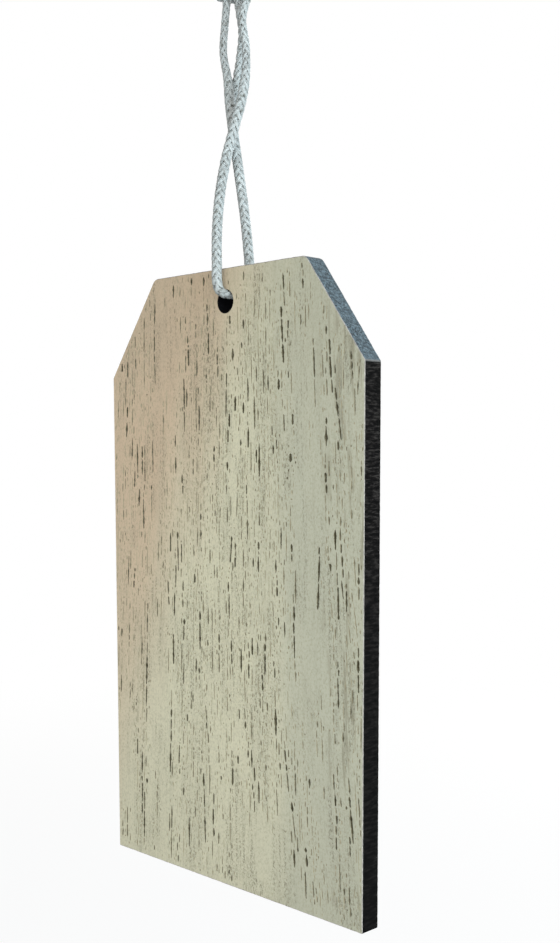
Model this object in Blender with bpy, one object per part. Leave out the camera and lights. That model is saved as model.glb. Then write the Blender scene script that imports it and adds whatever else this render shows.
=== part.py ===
"""Wooden hang tag on a looped braided cord.

The board is three flat layers glued face to face: a fibreboard core and a thin wood veneer on
each side, cut in one pass to a rectangle with two chamfered upper corners and a small round hole.
One cord goes through the hole. Its two strands cross once on the way up and are joined by a barrel
knot: the front strand winds round the back strand, turns in over the top and hangs out below.

Metres, +Z up, +X to the right, and the front of the tag faces -Y. The origin is at the top of the
loop, just under the knot, where a finger or a peg holds the tag. The board hangs from the cord in
its hole and swings about the axis along Y through the cord's middle there.
"""
import math

import bpy
import numpy as np

# Board
BOARD_WIDTH = 0.050
BOARD_HEIGHT = 0.085
TOP_EDGE_WIDTH = 0.030
SHOULDER_DROP = 0.0135
TOP_CORNER_RADIUS = 0.0014
SHOULDER_RADIUS = 0.0003
FOOT_RADIUS = 0.0002
CORE_THICKNESS = 0.0019
VENEER_THICKNESS = 0.0005
GLUE_LINE = 0.00005
HOLE_DIAMETER = 0.0031
HOLE_BELOW_TOP_EDGE = 0.0044

# Cord
CORD_DIAMETER = 0.0015
LOOP_DROP = 0.038
SEAT_GAP = 0.00018
STRAND_OFF_BOARD = 0.0007
RIM_BEND = 0.0018
OVER_TOP_EDGE = 0.0003
LEAN_OUT = 0.00003
STRAND_GAP = 0.0005
WRAP_TURNS = 3
WRAP_GAP = 0.0005
OVAL_FLATNESS = 2.5
KNOT_START = 0.0012
STUB_OVER_KNOT = 0.0062
JOIN_GAP = 0.0003
TURN_IN_DRIFT = 0.0005
TURN_IN_GAP = 0.0001
WINDING_START = 1 / 12
WINDING_END = 0.34

# Fineness of round forms
HOLE_POINTS = 48
CORNER_STEPS = 4
POINTS_PER_WRAP = 24
SIDE_RESOLUTION = 2
FINE_RIM_BENDS = 3

# Derived sizes
BOARD_THICKNESS = CORE_THICKNESS + 2 * (VENEER_THICKNESS + GLUE_LINE)
CORD_RADIUS = CORD_DIAMETER / 2
HOLE_RADIUS = HOLE_DIAMETER / 2
HOLE_CENTRE = CORD_RADIUS + SEAT_GAP - HOLE_RADIUS  # height over the swing axis
BOARD_TOP = HOLE_CENTRE + HOLE_BELOW_TOP_EDGE  # height over the swing axis
STRAND_Y = BOARD_THICKNESS / 2 + STRAND_OFF_BOARD + CORD_RADIUS
CORE_SPREAD = (CORD_DIAMETER + STRAND_GAP) / 2  # of the two strands inside the knot, from its middle
WRAP_RADIUS = CORD_DIAMETER + STRAND_GAP
WRAP_PITCH = CORD_DIAMETER + WRAP_GAP
KNOT_TOP = KNOT_START + WRAP_TURNS * WRAP_PITCH
STUB_TOP = KNOT_TOP + STUB_OVER_KNOT

# The strands above the board, as heights under the loop's top and places seen from above
BACK_RUN = [
    (-CORE_SPREAD, 0.0, STUB_TOP),
    (-CORE_SPREAD, 0.0, KNOT_TOP),
    (-CORE_SPREAD, 0.0, KNOT_START),
    (-0.00145, 0.0, -0.0022),
    (-0.00190, 0.00010, -0.0055),
    (-0.00125, 0.00028, -0.0092),
    (-0.00098, 0.00050, -0.0130),
    (-0.00082, 0.00078, -0.0156),
    (-0.00053, 0.00150, -0.0208),
    (-0.00026, 0.00212, -0.0254),
    (-0.00005, 0.00272, -0.0307),
]
FRONT_RUN = [
    (0.0, -0.00297, -0.0307),
    (0.00010, -0.00255, -0.0254),
    (0.00048, -0.00185, -0.0208),
    (0.00120, -0.00066, -0.0156),
    (0.00165, -0.00010, -0.0130),
    (0.00220, 0.00035, -0.0092),
    (0.00250, 0.00010, -0.0055),
    (0.00262, -0.00060, -0.0026),
]
TAIL_RUN = [
    (CORE_SPREAD, 0.0, KNOT_START),
    (0.00070, 0.00065, -0.0008),
    (-0.00010, 0.00190, -0.0030),
    (-0.00110, 0.00245, -0.0055),
    (-0.00185, 0.00250, -0.0086),
    (-0.00205, 0.00225, -0.0108),
    (-0.00228, 0.00205, -0.0132),
]


def clear_scene():
    for old in list(bpy.data.objects):
        bpy.data.objects.remove(old, do_unlink=True)


def surface(name, colour, roughness, metallic=0.0):
    material = bpy.data.materials.new(name)
    material.use_nodes = True
    shader = material.node_tree.nodes["Principled BSDF"]
    shader.inputs["Base Color"].default_value = (*colour, 1.0)
    shader.inputs["Roughness"].default_value = roughness
    shader.inputs["Metallic"].default_value = metallic
    return material


def rounded_corner(before, corner, after, radius):
    """Points of the arc that rounds one corner of an outline."""
    before, corner, after = (np.array(p, float) for p in (before, corner, after))
    to_before = (before - corner) / np.linalg.norm(before - corner)
    to_after = (after - corner) / np.linalg.norm(after - corner)
    half_angle = math.acos(float(to_before @ to_after)) / 2
    reach = radius / math.tan(half_angle)
    middle = (to_before + to_after) / np.linalg.norm(to_before + to_after)
    centre = corner + middle * radius / math.sin(half_angle)
    start = corner + to_before * reach - centre
    end = corner + to_after * reach - centre
    turn = math.pi - 2 * half_angle
    points = []
    for step in range(CORNER_STEPS + 1):
        share = step / CORNER_STEPS
        arc = math.sin((1 - share) * turn) * start + math.sin(share * turn) * end
        points.append(tuple(centre + arc / math.sin(turn)))
    return points


def board_outline():
    """The tag's outline, seen from the front, with the swing axis at (0, 0)."""
    half_width = BOARD_WIDTH / 2
    half_top = TOP_EDGE_WIDTH / 2
    foot = BOARD_TOP - BOARD_HEIGHT
    shoulder = BOARD_TOP - SHOULDER_DROP
    corners = [
        (-half_width, foot, FOOT_RADIUS),
        (half_width, foot, FOOT_RADIUS),
        (half_width, shoulder, SHOULDER_RADIUS),
        (half_top, BOARD_TOP, TOP_CORNER_RADIUS),
        (-half_top, BOARD_TOP, TOP_CORNER_RADIUS),
        (-half_width, shoulder, SHOULDER_RADIUS),
    ]
    outline = []
    for i, (x, z, radius) in enumerate(corners):
        before = corners[i - 1][:2]
        after = corners[(i + 1) % len(corners)][:2]
        outline += rounded_corner(before, (x, z), after, radius)
    return outline


def hole_outline():
    turns = [2 * math.pi * i / HOLE_POINTS for i in range(HOLE_POINTS)]
    return [(HOLE_RADIUS * math.cos(a), HOLE_CENTRE + HOLE_RADIUS * math.sin(a)) for a in turns]


def board_layer(name, thickness, middle_y, material, pivot, parts):
    """One flat layer of the board: a filled outline with the hole in it, parented to the swing axis."""
    curve = bpy.data.curves.new(name, "CURVE")
    curve.dimensions = "2D"
    curve.fill_mode = "BOTH"
    curve.extrude = thickness / 2
    for outline in (board_outline(), hole_outline()):
        spline = curve.splines.new("POLY")
        spline.points.add(len(outline) - 1)
        for point, (x, z) in zip(spline.points, outline):
            point.co = (x, z, 0.0, 1.0)
        spline.use_cyclic_u = True
    curve.materials.append(material)
    layer = bpy.data.objects.new(name, curve)
    parts.objects.link(layer)
    layer.parent = pivot
    layer.location = (0.0, middle_y, 0.0)
    layer.rotation_euler = (math.pi / 2, 0.0, 0.0)
    return layer


def rim_bend(side):
    """The cord's way out of the hole and up beside the board, on the front (-1) or the back (1)."""
    middle_y = STRAND_Y - RIM_BEND
    points = []
    for degrees in (0, 30, 60, 90):
        angle = math.radians(degrees)
        y = middle_y + RIM_BEND * math.sin(angle)
        z = RIM_BEND * (1 - math.cos(angle)) - LOOP_DROP
        points.append((0.0, side * y, z))
    points.append((0.0, side * (STRAND_Y + LEAN_OUT), BOARD_TOP - LOOP_DROP + OVER_TOP_EDGE))
    return points


def wrap_point(turn):
    """A point of the windings: an oval round the two strands inside, climbing at a steady rate."""
    angle = 2 * math.pi * turn
    side = max(-1.0, min(1.0, OVAL_FLATNESS * math.cos(angle)))
    x = CORE_SPREAD * side + WRAP_RADIUS * math.cos(angle)
    y = WRAP_RADIUS * math.sin(angle)
    return x, y, KNOT_START + WRAP_PITCH * turn


def windings():
    first = round(POINTS_PER_WRAP * WINDING_START)
    last = int(POINTS_PER_WRAP * (WRAP_TURNS - WINDING_END))
    return [wrap_point(i / POINTS_PER_WRAP) for i in range(first, last + 1)]


def turn_in():
    """Over the top of the windings and down into them, beside the back strand."""
    bend = WRAP_RADIUS / 2 + TURN_IN_GAP
    points = []
    for degrees in (0, 45, 90, 135, 180):
        angle = math.radians(degrees)
        x = CORE_SPREAD - TURN_IN_DRIFT * (1 + math.cos(angle)) / 2
        y = -bend * (1 + math.cos(angle))
        points.append((x, y, KNOT_TOP + bend * math.sin(angle)))
    points.append((CORE_SPREAD, 0.0, KNOT_TOP - WRAP_PITCH))
    points.append((CORE_SPREAD, 0.0, KNOT_START + WRAP_PITCH))
    return points


def smooth_line(route, steps=16):
    """Points close together on the cubic curve through the route's points."""
    route = np.array(route, float)
    along = np.concatenate([[0], np.cumsum(np.linalg.norm(np.diff(route, axis=0), axis=1))])
    slope = np.gradient(route, along, axis=0)
    points = [route[:1]]
    for i in range(len(route) - 1):
        length = along[i + 1] - along[i]
        t = (np.arange(1, steps + 1) / steps)[:, None]
        points.append(
            (2 * t**3 - 3 * t**2 + 1) * route[i]
            + (t**3 - 2 * t**2 + t) * length * slope[i]
            + (3 * t**2 - 2 * t**3) * route[i + 1]
            + (t**3 - t**2) * length * slope[i + 1]
        )
    return np.concatenate(points)


def lengths_along(line):
    return np.concatenate([[0], np.cumsum(np.linalg.norm(np.diff(line, axis=0), axis=1))])


def place_of(line, point):
    """How far along the line its nearest place to a point is."""
    nearest = int(np.linalg.norm(line - np.array(point), axis=1).argmin())
    return float(lengths_along(line)[nearest])


def read_line(line, stations):
    along = lengths_along(line)
    return np.stack([np.interp(stations, along, line[:, k]) for k in range(3)], axis=1)


def evenly(start, end, step):
    return np.linspace(start, end, max(2, math.ceil((end - start) / step) + 1))


def cord_stretch(name, line, stations, material, parts):
    """One stretch of the cord: a tube with closed ends along the line between its first and last station."""
    curve = bpy.data.curves.new(name, "CURVE")
    curve.dimensions = "3D"
    curve.bevel_depth = CORD_RADIUS
    curve.bevel_resolution = SIDE_RESOLUTION
    curve.use_fill_caps = True
    points = read_line(line, stations)
    spline = curve.splines.new("POLY")
    spline.points.add(len(points) - 1)
    for place, point in zip(spline.points, points):
        place.co = (*point, 1.0)
    spline.use_smooth = True
    curve.materials.append(material)
    tube = bpy.data.objects.new(name, curve)
    parts.objects.link(tube)
    return tube


def least_gap(line):
    """The least gap between the cord's surface and itself, and the two places on its middle line."""
    total = float(lengths_along(line)[-1])
    stations = evenly(0.0, total, CORD_DIAMETER / 6)
    points = read_line(line, stations)
    apart = np.linalg.norm(points[:, None] - points[None], axis=2)
    near = np.abs(stations[:, None] - stations[None]) < math.pi * CORD_DIAMETER / 2
    apart[near] = np.inf
    first, second = np.unravel_index(apart.argmin(), apart.shape)
    return float(apart.min() - CORD_DIAMETER), points[first], points[second]


def make_board(parts, guides):
    pivot = bpy.data.objects.new("swing_axis", None)
    pivot.empty_display_size = 0.005
    pivot.location = (0.0, 0.0, -LOOP_DROP)
    guides.objects.link(pivot)
    core = surface("charred_core", (0.018, 0.018, 0.019), 0.75)
    veneer = surface("wood_veneer", (0.47, 0.44, 0.33), 0.55)
    veneer_y = CORE_THICKNESS / 2 + GLUE_LINE + VENEER_THICKNESS / 2
    board_layer("core_board", CORE_THICKNESS, 0.0, core, pivot, parts)
    board_layer("front_veneer", VENEER_THICKNESS, -veneer_y, veneer, pivot, parts)
    board_layer("back_veneer", VENEER_THICKNESS, veneer_y, veneer, pivot, parts)


def make_cord(parts):
    braid = surface("silver_braid", (0.52, 0.55, 0.56), 0.45, 0.3)
    back = [*BACK_RUN, *reversed(rim_bend(1))]
    front = [*rim_bend(-1), *FRONT_RUN]
    line = smooth_line([*back, (0.0, 0.0, -LOOP_DROP), *front, *windings(), *turn_in(), *TAIL_RUN])
    end = float(lengths_along(line)[-1])
    seat = place_of(line, (0.0, 0.0, -LOOP_DROP))
    knot = place_of(line, FRONT_RUN[-1])
    tail = place_of(line, TAIL_RUN[1])
    fine = CORD_DIAMETER / 2
    coarse = 2 * CORD_DIAMETER
    by_the_board = FINE_RIM_BENDS * RIM_BEND
    hang = np.unique(
        np.concatenate(
            [
                evenly(0.0, seat - by_the_board, coarse),
                evenly(seat - by_the_board, seat + by_the_board, fine),
                evenly(seat + by_the_board, knot - JOIN_GAP / 2, coarse),
            ]
        )
    )
    cord_stretch("hang_cord", line, hang, braid, parts)
    cord_stretch("cord_knot", line, evenly(knot + JOIN_GAP / 2, tail - JOIN_GAP / 2, fine), braid, parts)
    cord_stretch("cord_tail", line, evenly(tail + JOIN_GAP / 2, end, coarse / 2), braid, parts)
    gap, here, there = least_gap(line)
    print(f"cord length {end * 1000:.1f} mm, to the seat {seat * 1000:.1f}, to the knot {knot * 1000:.1f}")
    print(f"least gap of the cord to itself {gap * 1000:.2f} mm")
    print("between", np.round(here * 1000, 2), "and", np.round(there * 1000, 2))


def build():
    clear_scene()
    scene = bpy.context.scene
    parts = bpy.data.collections.new("wooden_tag")
    guides = bpy.data.collections.new("guides")
    scene.collection.children.link(parts)
    scene.collection.children.link(guides)
    make_board(parts, guides)
    make_cord(parts)


build()
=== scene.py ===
# %% [markdown]
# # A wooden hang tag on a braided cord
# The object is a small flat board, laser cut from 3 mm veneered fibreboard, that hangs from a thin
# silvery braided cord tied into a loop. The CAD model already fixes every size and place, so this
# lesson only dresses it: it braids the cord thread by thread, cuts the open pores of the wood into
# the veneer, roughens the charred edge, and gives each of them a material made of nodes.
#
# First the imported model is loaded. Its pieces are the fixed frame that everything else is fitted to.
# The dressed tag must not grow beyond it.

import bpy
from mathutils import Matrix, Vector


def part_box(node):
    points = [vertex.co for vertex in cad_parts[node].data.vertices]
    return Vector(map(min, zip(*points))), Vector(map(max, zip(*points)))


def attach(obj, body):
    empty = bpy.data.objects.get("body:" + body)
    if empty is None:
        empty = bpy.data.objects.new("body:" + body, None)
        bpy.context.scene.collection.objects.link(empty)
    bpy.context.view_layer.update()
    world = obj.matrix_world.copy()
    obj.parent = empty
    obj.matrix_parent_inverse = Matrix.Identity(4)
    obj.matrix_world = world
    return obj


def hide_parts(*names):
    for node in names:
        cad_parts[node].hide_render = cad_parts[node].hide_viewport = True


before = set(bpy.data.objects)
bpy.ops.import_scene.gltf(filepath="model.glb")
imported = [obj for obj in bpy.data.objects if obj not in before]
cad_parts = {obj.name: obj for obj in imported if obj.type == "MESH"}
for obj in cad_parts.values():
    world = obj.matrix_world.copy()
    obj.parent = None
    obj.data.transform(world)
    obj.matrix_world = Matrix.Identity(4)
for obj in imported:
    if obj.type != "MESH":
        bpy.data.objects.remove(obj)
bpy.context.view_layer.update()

# %% [markdown]
# Everything is in metres. Small things are easier to read in millimetres, so one name stands for
# a millimetre. All random draws come from seeded generators, so each run makes the same tag.

# %% Libraries and units
import math

import bpy
import mathutils
import numpy as np

MM = 0.001
print("one millimetre is", MM)

# %% [markdown]
# The camera stands in front of the tag, to its right and a little above its middle, and looks
# slightly down. A camera's rotation is pitch, roll and yaw in degrees. The small upward shift of the
# film moves the picture without tilting the camera, so that upright edges stay nearly upright.

# %% Camera
FOCAL_LENGTH = 46.74
FILM_SIZE = 36.0
CAMERA_PLACE = (123.84 * MM, -113.59 * MM, -58.97 * MM)
CAMERA_TURN = (84.703, 0.081, 45.344)
FILM_SHIFT = 0.1014

camera_data = bpy.data.cameras.new("camera")
camera_data.lens = FOCAL_LENGTH
camera_data.sensor_width = FILM_SIZE
camera_data.shift_y = FILM_SHIFT
camera_data.clip_start = 5 * MM
camera = bpy.data.objects.new("camera", camera_data)
camera.location = CAMERA_PLACE
camera.rotation_euler = [math.radians(degrees) for degrees in CAMERA_TURN]
bpy.context.scene.collection.objects.link(camera)
bpy.context.scene.camera = camera
print("camera is", round(camera.location.length / MM), "mm from the loop's top")

# %% [markdown]
# The cord is one length. It starts as a short end over the knot, runs down behind the board, goes
# through the hole, comes up in front, crosses the back strand, winds three times round it, turns in
# over the top of its own windings and hangs out below as the tail. A limp cord like this one can't
# be drawn with straight runs and arcs, so its route is a list of given points, and the
# winding is worked out by a formula.

# %% The cord's sizes
CORD_DIAMETER = 1.5 * MM
STRAND_GAP = 0.5 * MM
WRAP_GAP = 0.5 * MM
WRAP_TURNS = 3
POINTS_PER_WRAP = 24
WINDING_START = 1 / 12
WINDING_END = 0.34
KNOT_START = 1.2 * MM
STUB_OVER_KNOT = 6.2 * MM
TURN_IN_DRIFT = 0.5 * MM
LOOP_DROP = 38 * MM
STRAND_OFF_BOARD = 0.7 * MM
RIM_BEND = 1.8 * MM
LEAN_OUT = 0.03 * MM
OVER_TOP_EDGE = 0.3 * MM
OVAL_FLATNESS = 2.5
TURN_IN_GAP = 0.1 * MM

front_low, front_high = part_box("front_veneer")
board_half = -front_low.y
board_top = front_high.z
strand_y = board_half + STRAND_OFF_BOARD + CORD_DIAMETER / 2
core_spread = (CORD_DIAMETER + STRAND_GAP) / 2
wrap_radius = CORD_DIAMETER + STRAND_GAP
wrap_pitch = CORD_DIAMETER + WRAP_GAP
knot_top = KNOT_START + WRAP_TURNS * wrap_pitch
stub_top = knot_top + STUB_OVER_KNOT
print("board is", round(2 * board_half / MM, 2), "mm thick, its top edge is at", round(board_top / MM, 2))

# %% [markdown]
# The three listed runs follow. Each point is left or right, front or back, and height, in
# metres, from the loop's top just under the knot.

# %% The listed runs
BACK_RUN = [
    (-core_spread, 0.0, stub_top),
    (-core_spread, 0.0, knot_top),
    (-core_spread, 0.0, KNOT_START),
    (-0.00145, 0.0, -0.0022),
    (-0.00190, 0.00010, -0.0055),
    (-0.00125, 0.00028, -0.0092),
    (-0.00098, 0.00050, -0.0130),
    (-0.00082, 0.00078, -0.0156),
    (-0.00053, 0.00150, -0.0208),
    (-0.00026, 0.00212, -0.0254),
    (-0.00005, 0.00272, -0.0307),
]
FRONT_RUN = [
    (0.0, -0.00297, -0.0307),
    (0.00010, -0.00255, -0.0254),
    (0.00048, -0.00185, -0.0208),
    (0.00120, -0.00066, -0.0156),
    (0.00165, -0.00010, -0.0130),
    (0.00220, 0.00035, -0.0092),
    (0.00250, 0.00010, -0.0055),
    (0.00262, -0.00060, -0.0026),
]
TAIL_RUN = [
    (core_spread, 0.0, KNOT_START),
    (0.00070, 0.00065, -0.0008),
    (-0.00010, 0.00190, -0.0030),
    (-0.00110, 0.00245, -0.0055),
    (-0.00185, 0.00250, -0.0086),
    (-0.00205, 0.00225, -0.0108),
    (-0.00228, 0.00205, -0.0132),
]
print("points chosen by hand:", len(BACK_RUN) + len(FRONT_RUN) + len(TAIL_RUN))

# %% [markdown]
# Round the hole's rim the cord bends in a quarter circle on each side of the board. In the knot it
# winds round two strands that lie side by side, so each winding is an oval. The last turn goes over
# the top in a half circle and down inside.


# %% The formula-made runs
def rim_bend(side):
    """Out of the hole and up beside the board, on the front (-1) or the back (1)."""
    points = []
    for degrees in (0, 30, 60, 90):
        angle = math.radians(degrees)
        y = strand_y - RIM_BEND + RIM_BEND * math.sin(angle)
        z = RIM_BEND * (1 - math.cos(angle)) - LOOP_DROP
        points.append((0.0, side * y, z))
    points.append((0.0, side * (strand_y + LEAN_OUT), board_top + OVER_TOP_EDGE))
    return points


def wrap_point(turn):
    """A point of the oval windings, which climb at a steady rate."""
    angle = 2 * math.pi * turn
    side = max(-1.0, min(1.0, OVAL_FLATNESS * math.cos(angle)))
    x = core_spread * side + wrap_radius * math.cos(angle)
    return x, wrap_radius * math.sin(angle), KNOT_START + wrap_pitch * turn


def windings():
    first = round(POINTS_PER_WRAP * WINDING_START)
    last = int(POINTS_PER_WRAP * (WRAP_TURNS - WINDING_END))
    return [wrap_point(i / POINTS_PER_WRAP) for i in range(first, last + 1)]


def turn_in():
    """Over the top of the windings and down into them, beside the back strand."""
    bend = wrap_radius / 2 + TURN_IN_GAP
    points = []
    for degrees in (0, 45, 90, 135, 180):
        angle = math.radians(degrees)
        x = core_spread - TURN_IN_DRIFT * (1 + math.cos(angle)) / 2
        points.append((x, -bend * (1 + math.cos(angle)), knot_top + bend * math.sin(angle)))
    points.append((core_spread, 0.0, knot_top - wrap_pitch))
    points.append((core_spread, 0.0, KNOT_START + wrap_pitch))
    return points


print("a winding has", POINTS_PER_WRAP, "points, and there are", len(windings()), "in the knot")

# %% [markdown]
# A smooth curve through the points comes next. A cubic piece between each two points takes its
# slope from the neighbours on either side, which bends the way a soft cord does. The curve is then
# read again at even steps, because the braid needs rings that are evenly spaced.


# %% One smooth line for the whole cord
def smooth_line(route, steps=16):
    """Points close together on the cubic curve through the route's points."""
    route = np.array(route, float)
    along = lengths_along(route)
    slope = np.gradient(route, along, axis=0)
    points = [route[:1]]
    for i in range(len(route) - 1):
        length = along[i + 1] - along[i]
        t = (np.arange(1, steps + 1) / steps)[:, None]
        points.append(
            (2 * t**3 - 3 * t**2 + 1) * route[i]
            + (t**3 - 2 * t**2 + t) * length * slope[i]
            + (3 * t**2 - 2 * t**3) * route[i + 1]
            + (t**3 - t**2) * length * slope[i + 1]
        )
    return np.concatenate(points)


def lengths_along(line):
    return np.concatenate([[0], np.cumsum(np.linalg.norm(np.diff(line, axis=0), axis=1))])


def read_evenly(line, step):
    """The line's points at even steps, and how far along it each one is."""
    along = lengths_along(line)
    stations = np.linspace(0, along[-1], round(along[-1] / step) + 1)
    return np.stack([np.interp(stations, along, line[:, k]) for k in range(3)], axis=1), stations


seat = (0.0, 0.0, -LOOP_DROP)
route = [*BACK_RUN, *reversed(rim_bend(1)), seat, *rim_bend(-1), *FRONT_RUN]
route += [*windings(), *turn_in(), *TAIL_RUN]
cord_line = smooth_line(route)

# %% [markdown]
# On the real cord eight flat threads, each a bundle of shiny filaments, are braided into a tube.
# Four run round it one way and four the other, and each thread passes over two and under two. An
# image or a bump map could suggest that, but the threads' bumps show in the cord's outline, so
# each thread is modelled: a helix round the cord's line whose radius rises and falls. On a round
# braid the same threads lie on top all along one strip of the cord, and the others on the next
# strip, so the rise depends only on the angle round the cord.

# %% Braid sizes
THREADS_EACH_WAY = 4
THREAD_LEAD = 4.2 * MM
THREAD_CIRCLE = 0.535 * MM
THREAD_RISE = 0.095 * MM
THREAD_WIDTH = 0.60 * MM
THREAD_THICKNESS = 0.24 * MM
THREAD_SIDES = 8
THREAD_UNEVEN = 0.10
FLOAT_SHARPNESS = 1.25
BRAID_TURN = -math.pi / 8
RING_STEP = 0.16 * MM
CORE_RADIUS = 0.40 * MM

cord_points, cord_stations = read_evenly(cord_line, RING_STEP)
print("rings along the cord:", len(cord_points))

# %% [markdown]
# A thread needs to know which way is sideways at each ring. Carrying the last ring's sideways
# direction along, and only tilting it to stay square to the line, gives directions that never twist.


# %% Directions along a line
def unit(vectors):
    return vectors / np.linalg.norm(vectors, axis=-1, keepdims=True)


def square_to(vectors, axes):
    """The part of each vector that is square to its axis, one unit long."""
    return unit(vectors - axes * np.sum(vectors * axes, axis=-1, keepdims=True))


def directions_along(points):
    """Two directions square to the line at each of its points, carried along without twist."""
    heading = unit(np.gradient(points, axis=0))
    sideways = np.zeros_like(points)
    last = np.array([0.0, 1.0, 0.0])
    for i, ahead in enumerate(heading):
        last = square_to(last, ahead)
        sideways[i] = last
    return sideways, np.cross(heading, sideways)


cord_side, cord_other = directions_along(cord_points)
print("the first ring's sideways direction is", np.round(cord_side[0], 2))

# %% [markdown]
# The cord isn't equally thick all along. Where it bears on the hole's rim the board's weight presses
# it flat and up against the rim, and under the knot it is pulled thin. Both are smooth
# changes along the cord, so each is a row of numbers, one for each ring.

# %% Pressed flat in the hole, pulled thin under the knot
PRESS_REACH = 2.6 * MM
PRESSED_FLAT = 0.68
PRESSED_WIDE = 1.08
PRESSED_UP = 0.33 * MM
THIN_SHARE = 0.74
THIN_FROM = -12.5 * MM
THIN_TO = -6.0 * MM
KNOT_ROOM = 1.0 * MM

seat_ring = int(np.linalg.norm(cord_points - np.array(seat), axis=1).argmin())
press = np.exp(-(((cord_stations - cord_stations[seat_ring]) / PRESS_REACH) ** 4))
heights = cord_points[:, 2]
thin = np.clip((heights - THIN_FROM) / (THIN_TO - THIN_FROM), 0, 1)
thin *= np.clip((KNOT_START - heights) / KNOT_ROOM, 0, 1)
thin = thin * thin * (3 - 2 * thin)
fatness = 1 - (1 - THIN_SHARE) * thin
flatness = fatness * (1 - (1 - PRESSED_FLAT) * press)
wideness = fatness * (1 + (PRESSED_WIDE - 1) * press)
section_points = cord_points - cord_side * (PRESSED_UP * press)[:, None]
print("thinnest", round(float(fatness.min()), 2), "flattest", round(float(flatness.min()), 2))

# %% [markdown]
# One function lays a single thread. Its section is a flattened oval, wide across the cord's
# surface and thin outwards, and bent round the cord. Each thread is a little uneven along its
# length, as threads of loose filaments are.


# %% One thread of the braid
def slow_noise(draws, spacing):
    """Numbers along the cord that drift slowly and stay mostly between -1 and 1."""
    knots = np.arange(0, cord_stations[-1] + 2 * spacing, spacing)
    return np.interp(cord_stations, knots, draws.normal(0, 0.5, len(knots)))


def placed(outward_shares, sideways_shares):
    """Offsets from the cord's line, given along its two directions and pressed flat where it is."""
    side = (outward_shares * flatness)[:, None] * cord_side
    other = (sideways_shares * wideness)[:, None] * cord_other
    return side + other


def thread_rings(number, way):
    """The rings of one thread that winds round the cord one way (1) or the other (-1)."""
    draws = np.random.default_rng(100 + 10 * number + way)
    first_angle = BRAID_TURN + 2 * math.pi * number / THREADS_EACH_WAY
    angle = first_angle + way * 2 * math.pi * cord_stations / THREAD_LEAD + 0.12 * slow_noise(draws, 3 * MM)
    strip = np.cos(THREADS_EACH_WAY / 2 * angle)
    rise = way * THREAD_RISE * np.clip(FLOAT_SHARPNESS * strip, -1, 1)
    radius = THREAD_CIRCLE + rise + 0.012 * MM * slow_noise(draws, 1.5 * MM)
    middle = section_points + placed(radius * np.cos(angle), radius * np.sin(angle))
    heading = unit(np.gradient(middle, axis=0))
    outward = square_to(placed(np.cos(angle), np.sin(angle)), heading)
    across = np.cross(heading, outward)
    turn = 2 * math.pi * np.arange(THREAD_SIDES) / THREAD_SIDES
    width = THREAD_WIDTH * fatness * (1 + THREAD_UNEVEN * slow_noise(draws, 1.0 * MM))
    wide = width[:, None] / 2 * np.cos(turn)
    slant = math.cos(math.atan(2 * math.pi * THREAD_CIRCLE / THREAD_LEAD))
    sagging = (wide * slant) ** 2 / (2 * THREAD_CIRCLE)
    thick = (THREAD_THICKNESS / 2 * fatness)[:, None] * np.sin(turn) - sagging
    aside = wide[:, :, None] * across[:, None, :]
    return middle[:, None, :] + aside + thick[:, :, None] * outward[:, None, :]


def core_rings():
    """The filling inside the braid, which shows between the threads as painted shade."""
    rings = []
    for turn in 2 * math.pi * np.arange(2 * THREAD_SIDES) / (2 * THREAD_SIDES):
        ones = np.full(len(cord_points), CORE_RADIUS)
        rings.append(section_points + placed(ones * math.cos(turn), ones * math.sin(turn)))
    return np.stack(rings, axis=1)


print("one thread has", thread_rings(0, 1).shape[0], "rings of", THREAD_SIDES, "points")

# %% [markdown]
# Rings become a closed tube when each is joined to the next with quads and both ends are capped.
# All tubes of the cord go into one mesh, and each face remembers its material by a number. A small
# map beside it, one number across the thread and one along it, lets the material draw filaments.


# %% Tubes into one mesh
def tube_faces(rings, sides, start):
    """Quads of a tube whose first point has the number start, and its two end caps, with a map
    of each face's corners: the share of the way round, and the millimetres along."""
    ring, side = np.meshgrid(np.arange(rings - 1), np.arange(sides), indexing="ij")
    here = start + ring * sides + side
    beside = start + ring * sides + (side + 1) % sides
    quads = np.stack([here, beside, beside + sides, here + sides], axis=-1).reshape(-1, 4)
    last = start + (rings - 1) * sides
    caps = [[start + i for i in reversed(range(sides))], [last + i for i in range(sides)]]
    round_it = np.stack([side, side + 1, side + 1, side], axis=-1) / sides
    along_it = np.stack([ring, ring, ring + 1, ring + 1], axis=-1) * RING_STEP / MM
    places = np.stack([round_it, along_it], axis=-1).reshape(-1, 2)
    return quads.tolist() + caps, np.concatenate([places, np.zeros((2 * sides, 2))])


def tubes_mesh(name, tubes):
    """One mesh of several tubes, given as (rings, material number)."""
    points = []
    faces = []
    places = []
    materials = []
    for rings, material in tubes:
        start = sum(len(p) for p in points)
        new, new_places = tube_faces(rings.shape[0], rings.shape[1], start)
        points.append(rings.reshape(-1, 3))
        faces += new
        places.append(new_places)
        materials += [material] * len(new)
    mesh = bpy.data.meshes.new(name)
    mesh.from_pydata(np.concatenate(points).tolist(), [], faces)
    mesh.polygons.foreach_set("material_index", materials)
    mesh.uv_layers.new(name="thread_map").uv.foreach_set("vector", np.concatenate(places).ravel())
    mesh.shade_smooth()
    return mesh


def shown(name, mesh, *materials):
    """An object in the scene for a mesh, with its materials."""
    for material in materials:
        mesh.materials.append(material)
    piece = bpy.data.objects.new(name, mesh)
    bpy.context.scene.collection.objects.link(piece)
    return piece


print("tubes are built ring by ring")

# %% [markdown]
# Materials are built from nodes. A few lines of helper make that readable: a node is added with its
# settings and its inputs in one call, where an input is either a value or another node's output.
# Effects that more than one material uses are node groups with named inputs and outputs.


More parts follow.
